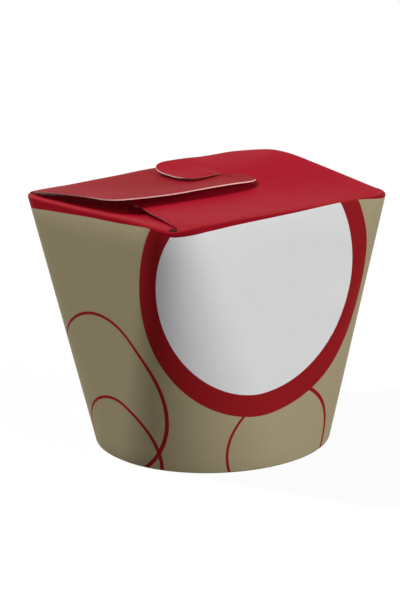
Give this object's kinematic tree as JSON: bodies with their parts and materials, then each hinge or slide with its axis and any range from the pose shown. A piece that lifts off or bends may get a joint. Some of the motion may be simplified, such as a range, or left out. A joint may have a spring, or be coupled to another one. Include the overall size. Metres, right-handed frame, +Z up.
{
  "type": "paper food container",
  "caption": "Folded paperboard food pail with a round recessed base, a wall that widens to a rounded square mouth, and a lid of infolded flaps hooked into each other.",
  "frame": {"origin": "centre of the foot, on the plane the pail stands on", "axes": "+Z up through the lid; -Y is the front panel, whose top edge carries the large flap that hooks over; X runs along the front panel"},
  "size_m": [0.1084, 0.0995, 0.1051],
  "materials": {
    "coated_board": "printed khaki, crimson and white with a soft coated sheen outside, plain board inside",
    "raw_board": "plain uncoated white board"
  },
  "bodies": {
    "root": {"lid_and_wall_blank": "coated_board", "floor_disc": "raw_board"}
  },
  "joints": []
}
